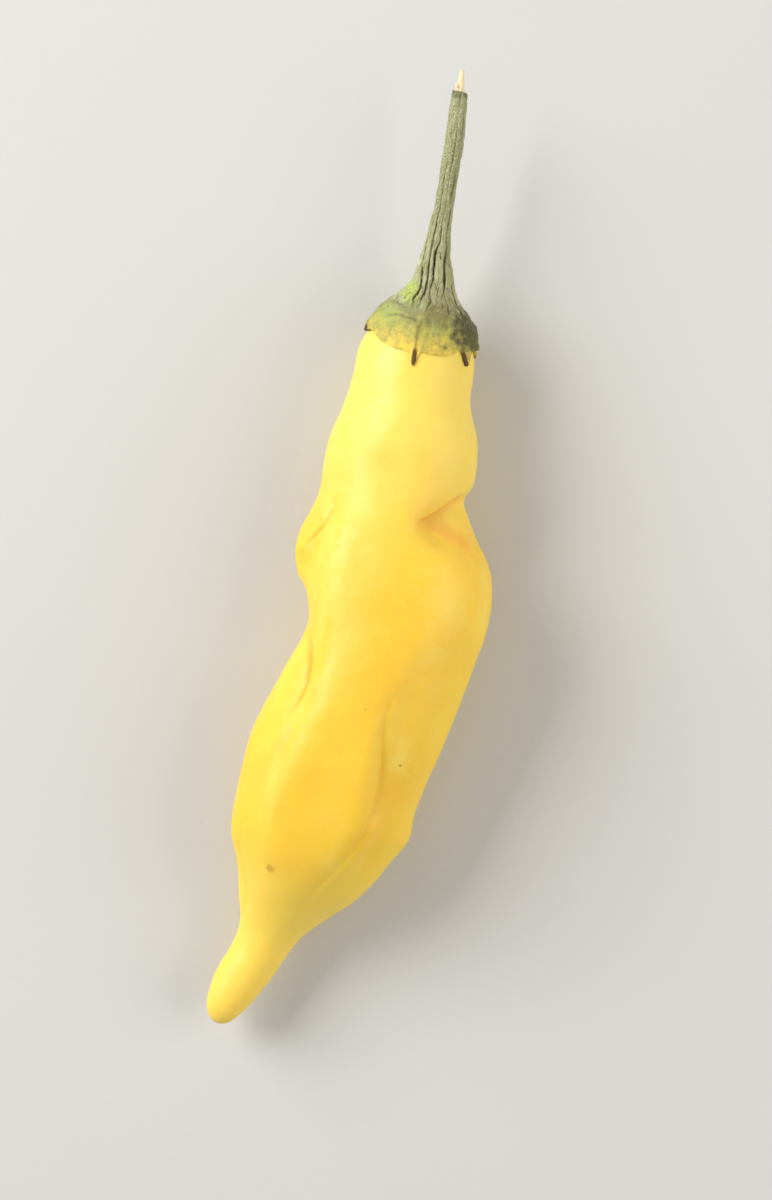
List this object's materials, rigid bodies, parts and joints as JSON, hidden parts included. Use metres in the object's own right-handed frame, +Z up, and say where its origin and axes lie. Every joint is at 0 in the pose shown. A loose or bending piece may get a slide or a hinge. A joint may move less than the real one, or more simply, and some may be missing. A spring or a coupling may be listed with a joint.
{
  "type": "chilli pepper",
  "caption": "Fresh yellow chilli pepper with a folded, tapering pod, a curved tail, a toothed green calyx and a ribbed stem, lying on its side.",
  "frame": {"origin": "under the middle of the bounding box, on the surface that the pepper rests on", "axes": "+Y along the pepper from the pod's tip to the stem's torn end, +Z up, +X to the side of the pod's larger bulge"},
  "size_m": [0.025, 0.1182, 0.019],
  "materials": {
    "pod": "smooth waxy yellow skin, satin",
    "calyx": "matt green skin with brown teeth",
    "stem": "matt green, ribbed and finely fibrous",
    "stem_core": "pale torn wood"
  },
  "bodies": {
    "root": {"pod": "pod", "calyx": "calyx", "stem": "stem", "stem_core": "stem_core"}
  },
  "joints": []
}
